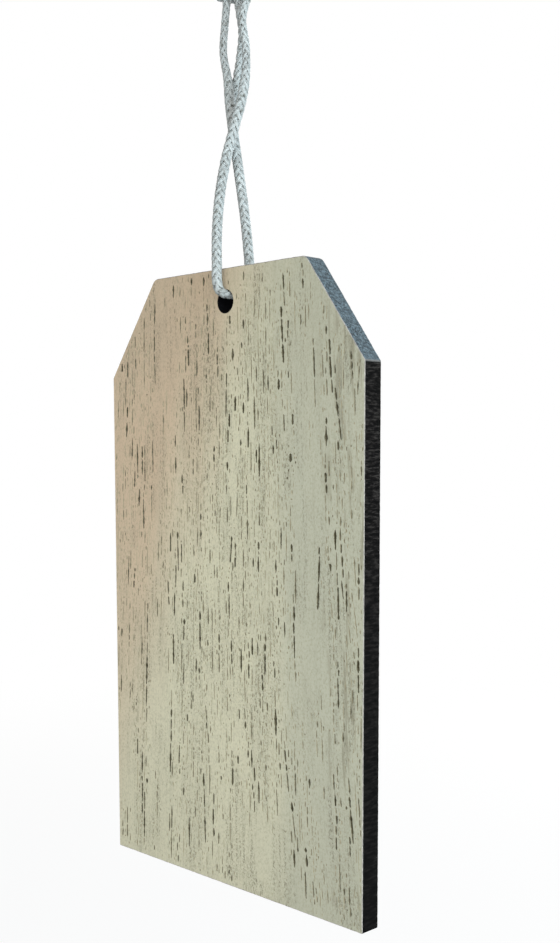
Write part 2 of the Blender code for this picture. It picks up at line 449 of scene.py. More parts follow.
# %% Node helpers
def add(tree, kind, inputs=None, **settings):
    """Adds a node. Inputs are values, or sockets of other nodes, by name or number."""
    made = tree.nodes.new(kind)
    for name, value in settings.items():
        setattr(made, name, value)
    for key, value in (inputs or {}).items():
        if isinstance(value, bpy.types.NodeSocket):
            tree.links.new(value, made.inputs[key])
        else:
            made.inputs[key].default_value = value
    return made


def maths(tree, operation, first, second=0.0, third=0.0):
    return add(tree, "ShaderNodeMath", {0: first, 1: second, 2: third}, operation=operation).outputs[0]


def times(tree, first, second):
    return maths(tree, "MULTIPLY", first, second)


def split(tree, vector):
    """The outputs X, Y and Z of a vector."""
    return add(tree, "ShaderNodeSeparateXYZ", {0: vector}).outputs


def ramp(tree, value, low, high, to_low=0.0, to_high=1.0, slope="SMOOTHSTEP"):
    """The value taken from one range to another, eased or LINEAR, and held at the ends."""
    sockets = {"Value": value, "From Min": low, "From Max": high, "To Min": to_low, "To Max": to_high}
    return add(tree, "ShaderNodeMapRange", sockets, interpolation_type=slope).outputs[0]


def blended(tree, share, first, second):
    """One colour mixed into another."""
    made = add(tree, "ShaderNodeMix", {"Factor": share}, data_type="RGBA")
    for socket, colour in ((made.inputs[6], first), (made.inputs[7], second)):
        if isinstance(colour, bpy.types.NodeSocket):
            tree.links.new(colour, socket)
        else:
            socket.default_value = (*colour, 1.0)
    return made.outputs[2]


def layered(tree, colour, *layers):
    """A colour with others laid over it in turn, each given as its share and itself."""
    for share, over in layers:
        colour = blended(tree, share, colour, over)
    return colour


def noise(tree, position, stretch, scale, detail=2.0, roughness=0.5):
    """Noise over a position in millimetres, stretched by a vector."""
    stretched = add(tree, "ShaderNodeVectorMath", {0: position, 1: stretch}, operation="MULTIPLY")
    sockets = {"Vector": stretched.outputs[0], "Scale": scale, "Detail": detail, "Roughness": roughness}
    return add(tree, "ShaderNodeTexNoise", sockets).outputs["Fac"]


print("node helpers are ready")

# %% [markdown]
# New groups get their sockets from the group's interface. Every group here takes a position in
# millimetres, so all its scales can be read as lumps per millimetre.


# %% Group and material helpers
def new_group(name, inputs, outputs):
    """A node group with named sockets, and its input and output nodes."""
    tree = bpy.data.node_groups.new(name, "ShaderNodeTree")
    for label, kind, value in inputs:
        socket = tree.interface.new_socket(label, in_out="INPUT", socket_type=kind)
        if value is not None:
            socket.default_value = value
    for label, kind in outputs:
        tree.interface.new_socket(label, in_out="OUTPUT", socket_type=kind)
    return tree, tree.nodes.new("NodeGroupInput"), tree.nodes.new("NodeGroupOutput")


def place_group(tree, group, inputs):
    return add(tree, "ShaderNodeGroup", inputs, node_tree=group).outputs


def new_material(name, constants):
    """A material with one Principled shader, whose constant values sit on its own sockets."""
    material = bpy.data.materials.new(name)
    material.use_nodes = True
    shader = material.node_tree.nodes["Principled BSDF"]
    for socket, value in constants.items():
        shader.inputs[socket].default_value = value
    return material, material.node_tree, shader


def position_in_mm(tree):
    """Where the shaded point is on the tag itself, in millimetres."""
    place = add(tree, "ShaderNodeTexCoord").outputs["Object"]
    return add(tree, "ShaderNodeVectorMath", {0: place, "Scale": 1 / MM}, operation="SCALE").outputs[0]


def coloured(tree, shader, colour, roughness=None):
    """Wires the base colour, and the roughness where it changes over the surface."""
    tree.links.new(colour, shader.inputs["Base Color"])
    if roughness is not None:
        tree.links.new(roughness, shader.inputs["Roughness"])


def bumped(tree, shader, height, distance):
    """Lets a height in 0 to 1 tilt the surface, as if it were that many metres deep."""
    normal = add(tree, "ShaderNodeBump", {"Height": height, "Distance": distance})
    tree.links.new(normal.outputs[0], shader.inputs["Normal"])


print("group helpers are ready")

# %% [markdown]
# Two effects are shared. Fine grit gives the small light and dark specks of a surface seen close:
# the char on the cut edge and the sealed cord ends both have it.

# %% Shared effect: fine grit
grit, grit_in, grit_out = new_group(
    "fine_grit",
    [
        ("Position", "NodeSocketVector", None),
        ("Stretch", "NodeSocketVector", (1.0, 1.0, 1.0)),
        ("Lumps per mm", "NodeSocketFloat", 3.0),
        ("Threshold", "NodeSocketFloat", 0.55),
    ],
    [("Mask", "NodeSocketFloat"), ("Height", "NodeSocketFloat")],
)
given = grit_in.outputs
stretched = add(
    grit, "ShaderNodeVectorMath", {0: given["Position"], 1: given["Stretch"]}, operation="MULTIPLY"
)
settings = {"Vector": stretched.outputs[0], "Scale": given["Lumps per mm"], "Detail": 3.0, "Roughness": 0.7}
grains = add(grit, "ShaderNodeTexNoise", settings)
over = maths(grit, "SUBTRACT", grains.outputs["Fac"], given["Threshold"])
grit.links.new(ramp(grit, over, 0.0, 0.12), grit_out.inputs["Mask"])
grit.links.new(grains.outputs["Fac"], grit_out.inputs["Height"])
print("group", grit.name, "gives", [o.name for o in grit_out.inputs if o.name])

# %% [markdown]
# Wood figure is the other shared effect, used by both faces. It has long fibres, a fine mottle,
# broad soft bands along the grain, wavy streaks, and a great many specks: pores too small to be
# worth cutting into the mesh, strung like dots on the vessels that they belong to.
#
# The grain runs along the tag's height, so most noise is squeezed sideways and stretched upwards.
# It also fans out: towards the foot the vessels spread a little, so the position is first
# squeezed back by the same rule that the modelled pores follow further down.

# %% Shared effect: wood figure
FAN_SHARE = 0.22
FAN_POWER = 1.5
BOARD_HEIGHT = 85 * MM

figure, figure_in, figure_out = new_group(
    "wood_figure",
    [("Position", "NodeSocketVector", None), ("Crowding", "NodeSocketFloat", 0.5)],
    [(label, "NodeSocketFloat") for label in ("Fibres", "Mottle", "Bands", "Streaks", "Specks", "Height")],
)
axes = split(figure, figure_in.outputs["Position"])
depth = maths(figure, "DIVIDE", maths(figure, "SUBTRACT", board_top / MM, axes["Z"]), BOARD_HEIGHT / MM)
spread = maths(figure, "POWER", maths(figure, "MAXIMUM", depth, 0.0), FAN_POWER)
spread = maths(figure, "ADD", times(figure, spread, FAN_SHARE), 1.0)
squeezed = maths(figure, "DIVIDE", axes["X"], spread)
where = add(figure, "ShaderNodeCombineXYZ", {"X": squeezed, "Y": axes["Y"], "Z": axes["Z"]}).outputs[0]
fibres = noise(figure, where, (1.0, 0.4, 0.10), 5.0, 3.0, 0.6)
mottle = noise(figure, where, (1.0, 0.4, 0.65), 4.5, 2.0, 0.7)
bands = noise(figure, where, (1.0, 0.2, 0.07), 0.16, 2.0)
patches = noise(figure, where, (1.0, 0.2, 0.25), 0.25, 2.0)
streaks = ramp(figure, noise(figure, where, (1.0, 0.3, 0.085), 1.2, 3.0, 0.6), 0.53, 0.66)
vessels = ramp(figure, noise(figure, where, (1.0, 0.3, 0.030), 2.4, 1.0), 0.48, 0.60)
dots = ramp(figure, noise(figure, where, (1.0, 0.3, 0.45), 4.6, 2.0, 0.75), 0.50, 0.60)
dust = ramp(figure, noise(figure, where, (1.0, 0.5, 0.75), 5.5, 2.0, 0.75), 0.57, 0.66)
busy = times(figure, ramp(figure, patches, 0.36, 0.60), figure_in.outputs["Crowding"])
specks = times(figure, times(figure, vessels, dots), ramp(figure, busy, 0.1, 0.7))
dust = times(figure, dust, ramp(figure, busy, 0.3, 1.0, 0.0, 0.7))
specks = maths(figure, "MAXIMUM", specks, dust)
height = maths(figure, "SUBTRACT", times(figure, fibres, 0.5), specks)
for socket, value in zip(figure_out.inputs, (fibres, mottle, bands, streaks, specks, height)):
    figure.links.new(value, socket)
print("group", figure.name, "gives", [o.name for o in figure_out.inputs if o.name])

# %% [markdown]
# The thread material. Silvery threads of this kind are coated polyester rather than metal: a pale,
# slightly blue grey with a soft gloss, bright towards the light and grey away from it. The
# filaments are noise on the map beside the mesh: it changes fast across the thread and slowly
# along it.

# %% Material: silver thread
silver, tree, shader = new_material("silver_thread", {"IOR": 1.45, "Specular IOR Level": 0.1})
thread_map = add(tree, "ShaderNodeUVMap", uv_map="thread_map").outputs[0]
filaments = noise(tree, thread_map, (22.0, 0.35, 1.0), 1.0, 2.0, 0.6)
shade = noise(tree, position_in_mm(tree), (1.0, 1.0, 1.0), 1.7, 2.0)
glossy = (ramp(tree, filaments, 0.35, 0.65), (0.41, 0.434, 0.428))
shaded = (ramp(tree, shade, 0.50, 0.75), (0.15, 0.153, 0.14))
colour = layered(tree, (0.25, 0.264, 0.26), glossy, shaded)
coloured(tree, shader, colour, ramp(tree, filaments, 0.3, 0.7, 0.55, 0.40))
bumped(tree, shader, filaments, 0.03 * MM)
print("material", silver.name)

# %% [markdown]
# Between the threads the cord's filling shows as dark gaps: its near-black colour is painted
# shade, the darkness that falls between the threads. The sealed ends are the same fibre melted
# into a small grey bead.

# %% Materials: filling and sealed end
filling, tree, shader = new_material("cord_filling_gap_shade", {"IOR": 1.45, "Roughness": 0.8})
where = position_in_mm(tree)
fuzzy = noise(tree, where, (1.0, 1.0, 1.0), 4.0)
# Near-black filling: painted shade between the threads.
coloured(tree, shader, blended(tree, fuzzy, (0.03, 0.031, 0.03), (0.09, 0.095, 0.095)))

sealed, tree, shader = new_material("sealed_end", {"IOR": 1.5})
melt = place_group(tree, grit, {"Position": position_in_mm(tree), "Lumps per mm": 2.5, "Threshold": 0.5})
colour = blended(tree, melt["Mask"], (0.30, 0.31, 0.31), (0.52, 0.54, 0.55))
coloured(tree, shader, colour, ramp(tree, melt["Height"], 0.3, 0.7, 0.3, 0.55))
bumped(tree, shader, melt["Height"], 0.08 * MM)
print("materials", filling.name, sealed.name)

# %% [markdown]
# Now the cord is put together: four threads each way and the filling, in one mesh. It stands for
# the three plain tubes of the CAD model, which are hidden.

# %% Braided cord
tubes = [(core_rings(), 1)]
for number in range(THREADS_EACH_WAY):
    tubes.append((thread_rings(number, 1), 0))
    tubes.append((thread_rings(number, -1), 0))
cord = shown("braided_cord", tubes_mesh("braided_cord", tubes), silver, filling)
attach(cord, "cord")
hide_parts("hang_cord", "cord_knot", "cord_tail")
print("the cord has", len(cord.data.polygons), "faces")

# %% [markdown]
# A cut braid frays, so its ends are sealed with a flame. Each bead is a turned form: rings that
# shrink towards the tip, a little uneven, over the last millimetre of the cord.

# %% Sealed ends
BEAD_LENGTH = 1.3 * MM
BEAD_PROFILE = [(0.0, 0.72), (0.12, 0.80), (0.35, 0.83), (0.6, 0.80), (0.8, 0.68), (0.93, 0.44), (1.0, 0.16)]
BEAD_SIDES = 24


def bead_rings(end, outward, sideways, seed):
    """Rings of a sealed tip that swells a little over the cord's end and closes beyond it."""
    draws = np.random.default_rng(seed)
    other = np.cross(outward, sideways)
    turn = 2 * math.pi * np.arange(BEAD_SIDES) / BEAD_SIDES
    lumps = 1 + 0.03 * np.sin(2 * turn + draws.uniform(0, 6)) + 0.02 * np.sin(3 * turn + draws.uniform(0, 6))
    rings = []
    for share, radius in BEAD_PROFILE:
        centre = end + outward * BEAD_LENGTH * (share - 0.55)
        circle = np.cos(turn)[:, None] * sideways + np.sin(turn)[:, None] * other
        rings.append(centre + radius * MM * lumps[:, None] * circle)
    return np.stack(rings)


for name, place, beside, seed in (("stub_end", 0, 1, 3), ("tail_end", -1, -2, 5)):
    outward = unit(cord_points[place] - cord_points[beside])
    rings = bead_rings(cord_points[place], outward, cord_side[place], seed)
    bead = shown(name, tubes_mesh(name, [(rings, 0)]), sealed)
    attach(bead, "cord")

# %% [markdown]
# The board is three layers: a core and two veneers. Their outline is read from the CAD model itself,
# so the dressed layers can't drift from it. The outline and the hole are both convex, so sorting
# their points by angle puts them in order.

# %% The board's outline from the frame
HOLE_REACH = 5 * MM
EDGE_STEP = 0.16 * MM


def ring_order(points):
    """Points of a convex ring, in order round its middle, anticlockwise seen from the front."""
    points = np.array(sorted(points))
    middle = points.mean(axis=0)
    return points[np.argsort(np.arctan2(points[:, 1] - middle[1], points[:, 0] - middle[0]))]


def cad_rings(node):
    """The outline and the hole of a flat layer, as (x, z) rings."""
    low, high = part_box(node)
    flat = set()
    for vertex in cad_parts[node].data.vertices:
        if abs(vertex.co.y - low.y) < 0.001 * MM:
            flat.add((round(vertex.co.x, 7), round(vertex.co.z, 7)))
    inside = [p for p in flat if abs(p[0]) < HOLE_REACH and high.z - p[1] < 2 * HOLE_REACH]
    outside = [p for p in flat if p not in inside]
    return ring_order(outside), ring_order(inside)


def subdivided(ring, step):
    """The same ring with points no further apart than a step."""
    points = []
    for here, there in zip(ring, np.roll(ring, -1, axis=0)):
        parts = max(1, math.ceil(np.linalg.norm(there - here) / step))
        points += [here + (there - here) * i / parts for i in range(parts)]
    return np.array(points)


def outward_of(ring):
    """The outward direction at each point of an anticlockwise ring."""
    run = np.roll(ring, -1, axis=0) - np.roll(ring, 1, axis=0)
    return unit(np.stack([run[:, 1], -run[:, 0]], axis=1))


outline, hole = cad_rings("core_board")
outline = subdivided(outline, EDGE_STEP)
print("outline has", len(outline), "points and the hole", len(hole))

# %% [markdown]
# A laser cuts through all three layers at once and leaves fine ridges straight across the edge.
# One row of small offsets along the outline, shared by the layers, makes the ridges run
# through. Smoothing the random draws a little gives ridges of two or three tenths of a millimetre.

# %% Laser ridges along the cut
RIDGE_DEPTH = 0.010 * MM
NICK_DEPTH = 0.05 * MM


def smoothed(values, times):
    """A closed row of numbers, each averaged with its neighbours."""
    for _ in range(times):
        values = (np.roll(values, 1) + 2 * values + np.roll(values, -1)) / 4
    return values / values.std()


draws = np.random.default_rng(11)
ridges = smoothed(draws.normal(size=len(outline)), 1) * RIDGE_DEPTH
ridges = np.clip(ridges, -2 * RIDGE_DEPTH, RIDGE_DEPTH) - RIDGE_DEPTH
outline_out = outward_of(outline)
cut_edge = outline + outline_out * ridges[:, None]
hole_out = outward_of(hole)
print("ridges reach", round(float(-ridges.min()) / MM, 3), "mm into the edge")

# %% [markdown]
# Open pores are the wood's vessels, sliced along their length by the veneer knife. Seen close,
# each dark dash is a string of small pits, one after another on the same vessel, some wide and
# some hardly there. Drawing them as a texture would leave a flat face, so each pit is
# cut into the mesh: a pointed rim on the surface and a floor line below.
#
# Vessels crowd in the middle of this tag and are rare in a smooth strip right of it, so their
# places are drawn from a density across the width. A few places are smoother or busier than
# the rest. Each of them is an oval with its middle, its half width and its half height. Vessels
# wander a little sideways on their way down, and more so at the right edge.

# %% Where the vessels run
VESSELS = 175
FACE_MARGIN = 0.30 * MM
USUAL_LIFE = 0.85
BUSY_EXTRA = 0.35
WANDER = 0.12
WANDER_RIGHT = 0.30
CROWD_PLACES = [-25.0, -21.0, -19.0, -15.5, -14.5, -12.0, -10.5, 7.0, 9.5, 11.5, 13.0, 17.0, 18.5, 25.0]
CROWD_SHARES = [0.30, 0.60, 0.95, 0.95, 0.60, 0.65, 1.20, 1.25, 0.85, 0.75, 0.55, 0.40, 0.75, 0.80]
QUIET_PLACES = [
    (15.0, -76.0, 3.0, 24.0),
    (7.0, -112.0, 9.0, 9.0),
    (-14.0, -98.0, 2.5, 20.0),
    (-23.0, -104.0, 3.0, 14.0),
    (-12.0, -44.0, 2.5, 9.0),
    (14.5, -50.0, 2.0, 14.0),
]
BUSY_PLACES = [
    (-7.0, -42.0, 3.0, 8.0),
    (0.0, -72.0, 12.0, 22.0),
    (4.0, -92.0, 8.0, 10.0),
    (11.0, -43.0, 1.2, 9.0),
]


def in_oval(x, z, oval):
    """1 at the oval's middle and 0 outside it."""
    middle_x, middle_z, half_width, half_height = oval
    apart = ((x / MM - middle_x) / half_width) ** 2 + ((z / MM - middle_z) / half_height) ** 2
    return max(0.0, 1 - apart)


def liveliness(x, z):
    """How strongly the pores show at a place: 1 in most places, less where the wood is smooth."""
    quiet = max(in_oval(x, z, oval) for oval in QUIET_PLACES)
    busy = max(in_oval(x, z, oval) for oval in BUSY_PLACES)
    return USUAL_LIFE * (1 - min(1.0, 1.6 * quiet)) + BUSY_EXTRA * min(1.0, 1.5 * busy)


def vessel_places(draws, count):
    """Sideways places of the vessels at the top edge, drawn where the density is high."""
    places = []
    while len(places) < count:
        x = draws.uniform(front_low.x, front_high.x)
        if draws.uniform(0, max(CROWD_SHARES)) < np.interp(x / MM, CROWD_PLACES, CROWD_SHARES):
            places.append(x)
    return places


def on_vessel(x, z, phase):
    """Where a vessel that starts at x lies at a height: it fans out, and wanders in slow waves."""
    depth = np.maximum(0.0, (board_top - z) / BOARD_HEIGHT)
    fanned = x * (1 + FAN_SHARE * depth**FAN_POWER)
    wander = WANDER + WANDER_RIGHT * min(1.0, max(0.0, (x / MM - 15) / 6))
    wave = np.sin(z / (9 * MM) + phase) + 0.5 * np.sin(z / (4 * MM) + 2 * phase)
    return fanned + wander * MM * wave


print("vessels:", VESSELS)

# %% [markdown]
# A pit is kept only where it stays on the face, clear of the rim, of the hole and of the pits
# already cut. To see which places are taken, the face is split into small cells.


# %% Clear of the rims and of each other
CELL = 0.05 * MM

corners, _ = cad_rings("core_board")
side_run = np.roll(corners, -1, axis=0) - corners
side_outward = unit(np.stack([side_run[:, 1], -side_run[:, 0]], axis=1))
hole_middle = hole.mean(axis=0)
hole_radius = float(np.linalg.norm(hole - hole_middle, axis=1).max())


def clear_of_rims(path, margin):
    """Whether a path lies on the face, that far inside the outline and outside the hole."""
    past_sides = ((path[:, None] - corners) * side_outward).sum(axis=2).max()
    from_hole = np.linalg.norm(path - hole_middle, axis=1).min() - hole_radius
    return past_sides < -margin and from_hole > margin


def cells_under(path, widths):
    """The cells under a pit, with a cell to spare to its left and right."""
    cells = set()
    for i in range(len(path) - 1):
        reach = max(widths[i], widths[i + 1]) / 2
        left = math.floor((min(path[i, 0], path[i + 1, 0]) - reach) / CELL) - 1
        right = math.floor((max(path[i, 0], path[i + 1, 0]) + reach) / CELL) + 1
        low = math.floor(path[i + 1, 1] / CELL)
        high = math.floor(path[i, 1] / CELL)
        cells |= {(a, b) for a in range(left, right + 1) for b in range(low, high + 1)}
    return cells


print("the hole is", round(2 * hole_radius / MM, 2), "mm wide")

# %% [markdown]
# Some marks are too striking to leave to chance, such as the long dark dash on the left and
# the small knot on the right. They are listed: place of the top, length, width and lean.

# %% The striking marks, in millimetres
KNOT_PLACE = (12.3, -59.5)
MARKS = [
    (-8.6, -47.6, 7.0, 0.34, 0.01), (-15.0, -36.4, 3.2, 0.28, -0.05), (-15.2, -41.0, 5.5, 0.32, 0.02),
    (-7.9, -41.8, 4.0, 0.28, 0.03), (-3.7, -38.6, 4.0, 0.26, 0.0), (-6.9, -34.8, 1.8, 0.22, 0.0),
    (11.0, -35.6, 3.8, 0.32, 0.08), (10.8, -39.0, 7.6, 0.40, 0.06), (10.1, -48.0, 3.2, 0.28, 0.0),
    (14.4, -34.9, 2.6, 0.26, 0.05), (16.2, -44.0, 7.5, 0.32, 0.05), (19.0, -44.5, 7.0, 0.26, 0.08),
    (22.7, -46.2, 3.0, 0.26, 0.08), (23.2, -47.2, 2.6, 0.26, 0.02), (22.95, -49.4, 3.4, 0.30, 0.05),
    (23.35, -49.8, 3.8, 0.30, 0.02), (23.5, -53.8, 2.8, 0.28, 0.28), (20.1, -50.4, 4.4, 0.26, 0.15),
    (20.2, -68.0, 4.0, 0.36, 0.02), (20.9, -66.5, 3.0, 0.30, 0.0), (21.2, -69.8, 3.5, 0.36, 0.05),
    (24.1, -71.8, 4.0, 0.30, 0.02), (24.1, -82.8, 4.2, 0.28, 0.02), (24.25, -87.4, 2.0, 0.28, 0.0),
    (22.0, -71.8, 5.6, 0.28, 0.02), (22.45, -76.4, 3.8, 0.28, 0.0), (20.6, -72.2, 3.8, 0.26, 0.02),
    (21.2, -78.9, 2.0, 0.28, 0.0), (5.7, -38.2, 2.2, 0.28, 0.0), (3.3, -57.0, 3.2, 0.50, 0.0),
    (-9.3, -61.5, 3.2, 0.34, 0.0), (-4.5, -94.0, 6.0, 0.46, 0.10), (11.1, -96.0, 6.0, 0.30, 0.14),
    (11.9, -101.0, 5.0, 0.34, 0.16), (20.65, -84.9, 4.2, 0.32, 0.04), (21.6, -86.0, 5.0, 0.30, -0.08),
    (22.1, -84.9, 2.0, 0.28, 0.10), (20.9, -89.6, 2.4, 0.28, 0.0), (-17.3, -80.5, 5.0, 0.36, -0.05),
    (-17.6, -86.0, 11.0, 0.34, -0.05), (-12.0, -93.0, 10.0, 0.28, -0.04), (-19.5, -57.0, 4.0, 0.30, 0.02),
    (-18.0, -57.5, 3.5, 0.50, 0.0), (-15.8, -57.0, 2.5, 0.26, 0.02), (-18.2, -64.0, 4.0, 0.30, 0.0),
    (-16.2, -63.0, 4.5, 0.26, 0.0), (-10.3, -69.5, 4.0, 0.50, 0.02), (-12.6, -77.0, 2.4, 0.50, 0.05),
    (-11.2, -78.5, 3.0, 0.30, -0.05), (-11.6, -84.5, 4.0, 0.30, 0.0), (-5.5, -80.5, 5.0, 0.40, 0.0),
    (-3.2, -80.0, 2.4, 0.30, 0.0), (-3.0, -85.5, 3.0, 0.50, 0.02), (3.0, -85.0, 2.2, 0.50, 0.0),
    (1.0, -70.0, 3.5, 0.30, -0.10), (2.2, -64.0, 4.0, 0.30, -0.05), (5.0, -57.2, 3.0, 0.26, 0.0),
    (6.5, -57.0, 5.0, 0.26, 0.0), (7.5, -82.0, 5.0, 0.26, 0.0), (9.4, -89.5, 4.5, 0.30, 0.03),
    (12.5, -70.5, 2.8, 0.34, 0.03), (12.8, -76.0, 12.0, 0.24, 0.03), (17.4, -70.5, 5.5, 0.26, -0.05),
    (22.5, -99.5, 8.0, 0.28, 0.12), (15.0, -113.0, 4.0, 0.30, 0.05), (-5.3, -103.0, 9.0, 0.34, 0.03),
    (-8.4, -111.0, 5.0, 0.28, 0.0), (-12.2, -109.5, 6.0, 0.34, -0.03), (-18.9, -107.0, 6.5, 0.40, -0.02),
    (-22.8, -112.5, 4.5, 0.40, 0.0),
]
print("marks given by hand:", len(MARKS))

# %% [markdown]
# A pit narrows to a point at both ends, and its width changes along it, like the edge of a torn
# fibre. The rough changes are averaged over three steps, which takes the saw teeth out of them.


# %% One pit
PIT_STEP = 0.17 * MM
PIT_WIDTH = 0.28 * MM
NARROWEST = 0.05 * MM
WIDEST = 0.60 * MM
RAGGED = 0.38
UNSTEADY = 0.012


def draw_pit(draws, line, top, length, width):
    """The middle line and the widths of one pit that follows its vessel's line."""
    steps = max(3, round(length / PIT_STEP))
    share = np.arange(steps + 1) / steps
    heights = top - length * share
    middle = line(heights) + draws.normal(0, UNSTEADY, steps + 1) * MM
    swell = np.sqrt(np.sin(math.pi * (0.05 + 0.90 * share)))
    rough = np.convolve(draws.normal(0, RAGGED, steps + 3), [1 / 3, 1 / 3, 1 / 3], "valid")
    widths = np.clip(width * swell * np.exp(rough), NARROWEST, WIDEST)
    return np.stack([middle, heights], axis=1), widths


print("a pit of 1 mm has", 1 + round(1 * MM / PIT_STEP), "points down its floor")

# %% [markdown]
# A dash is a string of pits, and its strength rules how wide and how dark they are. Faint short
# pits lie beside it. Each pit has a shade that its material reads later: 0 is black, with dust
# and painted shade, 1 hardly darker than the wood.
#
# Most lengths here are drawn from a lognormal rule, which gives many short ones and a few long
# ones, as in wood. A name with USUAL gives the middle of such a rule in millimetres.


# %% Pits and dashes
VARIETY = 0.6
USUAL_RUN = 1.3
LONGEST_RUN = 4.5
THIN_UNDER = 1.2 * MM
PIT_GAPS = (0.05, 0.14)
RUN_STRENGTHS = (0.65, 1.2)
SIDE_PITS = 1.2
SIDE_SPREAD = 0.4
SIDE_RUNS = (0.25, 0.8)
SIDE_STRENGTHS = (0.35, 0.7)
PALEST = 0.95
DARKER_BY = 0.85
SHADE_SPREAD = 0.12


class Face:
    """The pits of one face, and the cells that they take."""

    def __init__(self, seed):
        self.draws = np.random.default_rng(seed)
        self.taken = set()
        self.pits = []

    def add_pit(self, line, top, length, strength):
        path, widths = draw_pit(self.draws, line, top, length, PIT_WIDTH * strength)
        shade = PALEST - DARKER_BY * strength + self.draws.uniform(-SHADE_SPREAD, SHADE_SPREAD)
        cells = cells_under(path, widths)
        if clear_of_rims(path, FACE_MARGIN) and not cells & self.taken:
            self.taken |= cells
            self.pits.append((path, widths, min(1.0, max(0.0, shade))))

    def add_dash(self, line, top, length, strength, usual=USUAL_RUN, sides=SIDE_PITS):
        """A string of pits down a line, and so many faint ones beside each millimetre of it."""
        draws = self.draws
        z = top
        aside = 0.0
        while z > top - length:
            aside = 0.6 * aside + draws.normal(0, 0.08) * MM
            run = min(draws.lognormal(math.log(usual), VARIETY), LONGEST_RUN) * MM
            thinner = min(1.0, math.sqrt(run / THIN_UNDER))
            here = strength * thinner * draws.uniform(*RUN_STRENGTHS)
            self.add_pit(lambda h: line(h) + aside, z, run, here)
            z -= run + draws.uniform(*PIT_GAPS) * MM
        for _ in range(draws.poisson(sides * length / MM)):
            beside = draws.normal(0, SIDE_SPREAD) * MM
            start = top - draws.uniform(-0.3, 1.0) * length
            run = draws.uniform(*SIDE_RUNS) * MM
            self.add_pit(lambda h: line(h) + beside, start, run, draws.uniform(*SIDE_STRENGTHS))


print("a usual pit is", USUAL_RUN, "mm long")

# %% [markdown]
# A listed mark is a strong dash, and a wide one is several strings side by side. The knot
# is three wide pits with small ones crowded round them, closer together than any vessel's pits.


# %% Marks and the knot
MARK_STRENGTH = 1.15
MARK_RUN = 2.0
MARK_SIDE_PITS = 0.2
STRING_WIDTH = 0.26
STRING_APART = 0.40
KNOT_PITS = [(0.0, 1.2, 1.9), (-0.52, 0.8, 1.3), (0.52, 0.9, 1.4)]
KNOT_SPECKS = 90
KNOT_REACH = 0.6


def add_mark(face, x, top, length, width, lean):
    """One row of the marks. Values in millimetres."""
    strings = max(1, round(width / STRING_WIDTH))
    for string in range(strings):
        aside = (string - (strings - 1) / 2) * STRING_APART
        start = (top - face.draws.uniform(0, 0.15) * length) * MM
        run = length * face.draws.uniform(0.8, 1.0) * MM

        def line(height):
            return (x + aside) * MM + lean * (start - height)

        face.add_dash(line, start, run, MARK_STRENGTH, MARK_RUN, MARK_SIDE_PITS)


def add_upright(face, x, top, length, strength):
    """One straight pit. Place and length are in millimetres."""
    face.add_pit(lambda heights: x * MM + 0 * heights, top * MM, length * MM, strength)


def add_knot(face):
    x, z = KNOT_PLACE
    for aside, length, strength in KNOT_PITS:
        add_upright(face, x + aside, z + length / 2, length, strength)
    for _ in range(KNOT_SPECKS):
        angle = face.draws.uniform(0, 2 * math.pi)
        reach = abs(face.draws.normal(0, KNOT_REACH))
        top = z + 1.3 * reach * math.sin(angle)
        add_upright(face, x + reach * math.cos(angle), top, 0.4, face.draws.uniform(0.5, 0.9))


print("side by side strings are", STRING_APART, "mm apart")

# %% [markdown]
# Along one vessel, dashes come in groups with short gaps between them and long gaps between
# the groups. Some dashes have a weaker twin close beside them. Where the wood is smooth, most
# dashes are left out.


# %% One vessel
USUAL_STRENGTH = 0.78
STRONGEST = 1.3
USUAL_DASH = 1.9
USUAL_GAP = 1.2
USUAL_LONG_GAP = 6.5
LONG_GAP_SHARE = 0.40
TWIN_SHARE = 0.25
TWIN_APART = 0.36


def add_vessel(face, start):
    """All the dashes of one vessel, from the top edge to the foot."""
    draws = face.draws
    phase = 0.25 * start / MM
    vessel = draws.lognormal(math.log(USUAL_STRENGTH), 0.2)
    z = front_high.z - draws.uniform(-4, 12) * MM
    while z > front_low.z:
        length = draws.lognormal(math.log(USUAL_DASH), VARIETY) * MM
        if draws.uniform() < liveliness(on_vessel(start, z, phase), z):
            aside = draws.normal(0, 0.3) * MM
            strength = min(STRONGEST, vessel * draws.lognormal(0, 0.28))
            face.add_dash(lambda h: on_vessel(start, h, phase) + aside, z, length, strength)
            if draws.uniform() < TWIN_SHARE:
                aside += draws.choice([-TWIN_APART, TWIN_APART]) * MM
                low = z - draws.uniform(-0.2, 0.5) * length
                strength *= 0.8
                face.add_dash(lambda h: on_vessel(start, h, phase) + aside, low, 0.7 * length, strength)
        gap = USUAL_LONG_GAP if draws.uniform() < LONG_GAP_SHARE else USUAL_GAP
        z -= length + draws.lognormal(math.log(gap), VARIETY) * MM


print("a usual dash is", USUAL_DASH, "mm long")

# %% [markdown]
# The marks go on the front first, so that nothing takes their places. Then both faces get their
# vessels. The back isn't seen in the photograph, so all of it is left to chance.

# %% Draw the pits of both faces
faces = {}
for name, seed in (("front", 21), ("back", 22)):
    face = Face(seed)
    if name == "front":
        for mark in MARKS:
            add_mark(face, *mark)
        add_knot(face)
    for start in vessel_places(face.draws, VESSELS):
        add_vessel(face, start)
    faces[name] = face.pits
    print("pits on the", name, len(face.pits))

# %% [markdown]
# A face with grooves in it could be made by cutting with a Boolean, but hundreds of thin cutters
# are slow and fragile. Here the flat face is triangulated once, with the rims of all the pits and
# their floor lines as edges that must appear. Then only the floor lines are lowered, and each
# pit is a clean little valley in one closed mesh. The rim of a pit is paler than its floor, so
# a dash fades out sideways as it does in wood; the darker floor is partly painted shade.


# %% Triangulate a face with its pits
PIT_SLOPE = 0.6
PIT_DEEPEST = 0.15 * MM
RIM_PALER = 0.45


def pit_outline(path, widths):
    """The rim of a pit, anticlockwise, with a pointed tip at each end."""
    half = np.stack([widths / 2, np.zeros(len(widths))], axis=1)
    left = (path - half)[1:-1]
    right = (path + half)[1:-1]
    return np.concatenate([path[:1], left, path[-1:], right[::-1]])


